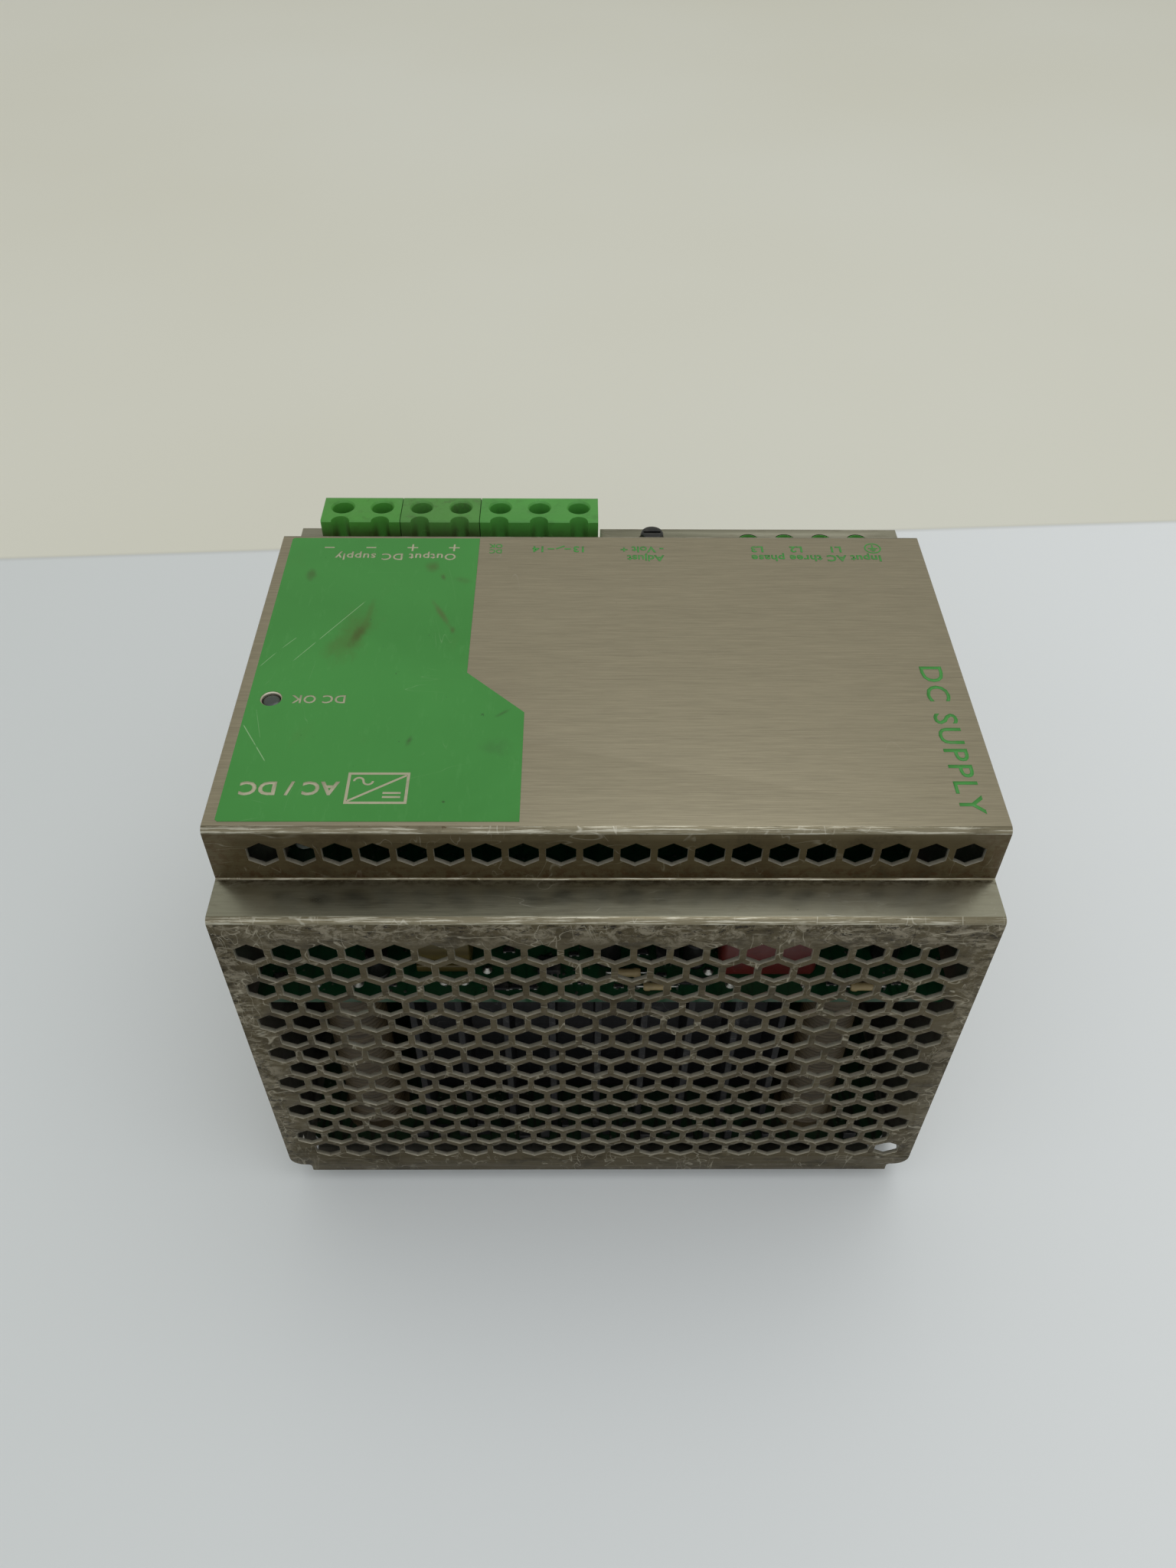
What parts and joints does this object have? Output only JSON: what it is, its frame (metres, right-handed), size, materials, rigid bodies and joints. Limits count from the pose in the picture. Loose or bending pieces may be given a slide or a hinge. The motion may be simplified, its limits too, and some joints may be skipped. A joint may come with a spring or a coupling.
{
  "type": "din rail power supply",
  "caption": "Sheet metal rail-mounted power supply with honeycomb vents, green screw terminals on a stepped ledge, and a spring foot for a 35 mm rail.",
  "frame": {"origin": "under the middle of the unit as it lies on its back, on the surface it lies on", "axes": "+Z out of the front plate, -Y towards the end that is on top on a rail, +Y towards the terminals, X along the rail"},
  "size_m": [0.157, 0.13, 0.125],
  "materials": {
    "cover_steel": "brushed along the width, tarnished and scratched, bright on the bends",
    "chassis_steel": "plain rolled sheet, slightly dulled",
    "printed_green": "satin printed ink with brown smudges and scratches",
    "terminal_green": "moulded polyamide, faintly dusty",
    "plated_steel": "zinc plated",
    "rail_steel": "zinc plated sheet",
    "spring_steel": "bright spring wire",
    "board_green": "solder mask with solder points",
    "black_plastic": "satin moulded plastic",
    "clear_plastic": "clear light guide",
    "ferrite": "matt dark ferrite",
    "yellow_tape": "polyester tape",
    "pale_tape": "varnished winding under pale tape",
    "copper_wire": "enamelled copper wire",
    "capacitor_sleeve": "shrunk sleeve",
    "orange_coating": "epoxy coated",
    "black_aluminium": "black anodised extrusion"
  },
  "bodies": {
    "case": {"front_cover": "cover_steel", "front_label": "printed_green", "rear_chassis": "chassis_steel", "output_block_minus": "terminal_green", "output_block_plus": "terminal_green", "signal_block": "terminal_green", "input_block": "terminal_green", "trimmer_body": "black_plastic", "status_light_pipe": "clear_plastic", "main_board": "board_green", "filter_board": "board_green", "terminal_board": "board_green", "terminal_link": "black_plastic", "primary_heatsink": "black_aluminium", "secondary_heatsink": "black_aluminium", "input_choke_left": "pale_tape", "input_choke_right": "pale_tape", "bulk_capacitor_1": "capacitor_sleeve", "bulk_capacitor_2": "capacitor_sleeve", "transformer_core": "ferrite", "transformer_winding": "yellow_tape", "output_choke": "copper_wire", "film_capacitor": "orange_coating", "pulse_transformer": "yellow_tape", "signal_relay": "black_plastic", "rail_hook": "rail_steel", "foot_guide": "rail_steel", "foot_spring": "spring_steel", "cover_screw_1": "plated_steel", "cover_screw_2": "plated_steel", "cover_screw_3": "plated_steel", "cover_screw_4": "plated_steel", "adapter_screw_1": "plated_steel", "adapter_screw_2": "plated_steel", "adapter_screw_3": "plated_steel", "adapter_screw_4": "plated_steel"},
    "output_screw_1_body": {"output_screw_1": "plated_steel"},
    "output_clamp_1_body": {"output_clamp_1": "plated_steel"},
    "output_screw_2_body": {"output_screw_2": "plated_steel"},
    "output_clamp_2_body": {"output_clamp_2": "plated_steel"},
    "output_screw_3_body": {"output_screw_3": "plated_steel"},
    "output_clamp_3_body": {"output_clamp_3": "plated_steel"},
    "output_screw_4_body": {"output_screw_4": "plated_steel"},
    "output_clamp_4_body": {"output_clamp_4": "plated_steel"},
    "output_screw_5_body": {"output_screw_5": "plated_steel"},
    "output_clamp_5_body": {"output_clamp_5": "plated_steel"},
    "output_screw_6_body": {"output_screw_6": "plated_steel"},
    "output_clamp_6_body": {"output_clamp_6": "plated_steel"},
    "output_screw_7_body": {"output_screw_7": "plated_steel"},
    "output_clamp_7_body": {"output_clamp_7": "plated_steel"},
    "input_screw_1_body": {"input_screw_1": "plated_steel"},
    "input_clamp_1_body": {"input_clamp_1": "plated_steel"},
    "input_screw_2_body": {"input_screw_2": "plated_steel"},
    "input_clamp_2_body": {"input_clamp_2": "plated_steel"},
    "input_screw_3_body": {"input_screw_3": "plated_steel"},
    "input_clamp_3_body": {"input_clamp_3": "plated_steel"},
    "input_screw_4_body": {"input_screw_4": "plated_steel"},
    "input_clamp_4_body": {"input_clamp_4": "plated_steel"},
    "knob": {"adjust_knob": "black_plastic"},
    "foot": {"rail_foot": "rail_steel"}
  },
  "joints": [
    {"name": "output_screw_1_turn", "type": "hinge", "parent": "case", "child": "output_screw_1_body", "pos_m": [-0.06652, 0.0598, 0.105], "axis": [0, 0, -1], "range_deg": [0, 1800]},
    {"name": "output_clamp_1_rise", "type": "slide", "parent": "case", "child": "output_clamp_1_body", "axis": [0, 0, 1], "range_m": [0, 0.003]},
    {"name": "output_screw_2_turn", "type": "hinge", "parent": "case", "child": "output_screw_2_body", "pos_m": [-0.05636, 0.0598, 0.105], "axis": [0, 0, -1], "range_deg": [0, 1800]},
    {"name": "output_clamp_2_rise", "type": "slide", "parent": "case", "child": "output_clamp_2_body", "axis": [0, 0, 1], "range_m": [0, 0.003]},
    {"name": "output_screw_3_turn", "type": "hinge", "parent": "case", "child": "output_screw_3_body", "pos_m": [-0.0462, 0.0598, 0.105], "axis": [0, 0, -1], "range_deg": [0, 1800]},
    {"name": "output_clamp_3_rise", "type": "slide", "parent": "case", "child": "output_clamp_3_body", "axis": [0, 0, 1], "range_m": [0, 0.003]},
    {"name": "output_screw_4_turn", "type": "hinge", "parent": "case", "child": "output_screw_4_body", "pos_m": [-0.03604, 0.0598, 0.105], "axis": [0, 0, -1], "range_deg": [0, 1800]},
    {"name": "output_clamp_4_rise", "type": "slide", "parent": "case", "child": "output_clamp_4_body", "axis": [0, 0, 1], "range_m": [0, 0.003]},
    {"name": "output_screw_5_turn", "type": "hinge", "parent": "case", "child": "output_screw_5_body", "pos_m": [-0.02588, 0.0598, 0.105], "axis": [0, 0, -1], "range_deg": [0, 1800]},
    {"name": "output_clamp_5_rise", "type": "slide", "parent": "case", "child": "output_clamp_5_body", "axis": [0, 0, 1], "range_m": [0, 0.003]},
    {"name": "output_screw_6_turn", "type": "hinge", "parent": "case", "child": "output_screw_6_body", "pos_m": [-0.01572, 0.0598, 0.105], "axis": [0, 0, -1], "range_deg": [0, 1800]},
    {"name": "output_clamp_6_rise", "type": "slide", "parent": "case", "child": "output_clamp_6_body", "axis": [0, 0, 1], "range_m": [0, 0.003]},
    {"name": "output_screw_7_turn", "type": "hinge", "parent": "case", "child": "output_screw_7_body", "pos_m": [-0.00556, 0.0598, 0.105], "axis": [0, 0, -1], "range_deg": [0, 1800]},
    {"name": "output_clamp_7_rise", "type": "slide", "parent": "case", "child": "output_clamp_7_body", "axis": [0, 0, 1], "range_m": [0, 0.003]},
    {"name": "input_screw_1_turn", "type": "hinge", "parent": "case", "child": "input_screw_1_body", "pos_m": [0.0391, 0.0571, 0.105], "axis": [0, 0, -1], "range_deg": [0, 2160]},
    {"name": "input_clamp_1_rise", "type": "slide", "parent": "case", "child": "input_clamp_1_body", "axis": [0, 0, 1], "range_m": [0, 0.003]},
    {"name": "input_screw_2_turn", "type": "hinge", "parent": "case", "child": "input_screw_2_body", "pos_m": [0.0486, 0.0571, 0.105], "axis": [0, 0, -1], "range_deg": [0, 2160]},
    {"name": "input_clamp_2_rise", "type": "slide", "parent": "case", "child": "input_clamp_2_body", "axis": [0, 0, 1], "range_m": [0, 0.003]},
    {"name": "input_screw_3_turn", "type": "hinge", "parent": "case", "child": "input_screw_3_body", "pos_m": [0.0581, 0.0571, 0.105], "axis": [0, 0, -1], "range_deg": [0, 2160]},
    {"name": "input_clamp_3_rise", "type": "slide", "parent": "case", "child": "input_clamp_3_body", "axis": [0, 0, 1], "range_m": [0, 0.003]},
    {"name": "input_screw_4_turn", "type": "hinge", "parent": "case", "child": "input_screw_4_body", "pos_m": [0.0676, 0.0571, 0.105], "axis": [0, 0, -1], "range_deg": [0, 2160]},
    {"name": "input_clamp_4_rise", "type": "slide", "parent": "case", "child": "input_clamp_4_body", "axis": [0, 0, 1], "range_m": [0, 0.003]},
    {"name": "voltage_adjust_turn", "type": "hinge", "parent": "case", "child": "knob", "pos_m": [0.0136, 0.0572, 0.1162], "axis": [0, 0, -1], "range_deg": [-135, 135]},
    {"name": "rail_foot_slide", "type": "slide", "parent": "case", "child": "foot", "axis": [0, 1, 0], "range_m": [0, 0.005], "stiffness_N_per_m": 1200, "springref_m": -0.004, "deforming": ["foot_spring"]}
  ],
  "couplings": [
    {"joint": "output_screw_1_turn", "follows": "output_clamp_1_rise", "rad_per_m": 10472},
    {"joint": "output_screw_2_turn", "follows": "output_clamp_2_rise", "rad_per_m": 10472},
    {"joint": "output_screw_3_turn", "follows": "output_clamp_3_rise", "rad_per_m": 10472},
    {"joint": "output_screw_4_turn", "follows": "output_clamp_4_rise", "rad_per_m": 10472},
    {"joint": "output_screw_5_turn", "follows": "output_clamp_5_rise", "rad_per_m": 10472},
    {"joint": "output_screw_6_turn", "follows": "output_clamp_6_rise", "rad_per_m": 10472},
    {"joint": "output_screw_7_turn", "follows": "output_clamp_7_rise", "rad_per_m": 10472},
    {"joint": "input_screw_1_turn", "follows": "input_clamp_1_rise", "rad_per_m": 12566},
    {"joint": "input_screw_2_turn", "follows": "input_clamp_2_rise", "rad_per_m": 12566},
    {"joint": "input_screw_3_turn", "follows": "input_clamp_3_rise", "rad_per_m": 12566},
    {"joint": "input_screw_4_turn", "follows": "input_clamp_4_rise", "rad_per_m": 12566}
  ]
}
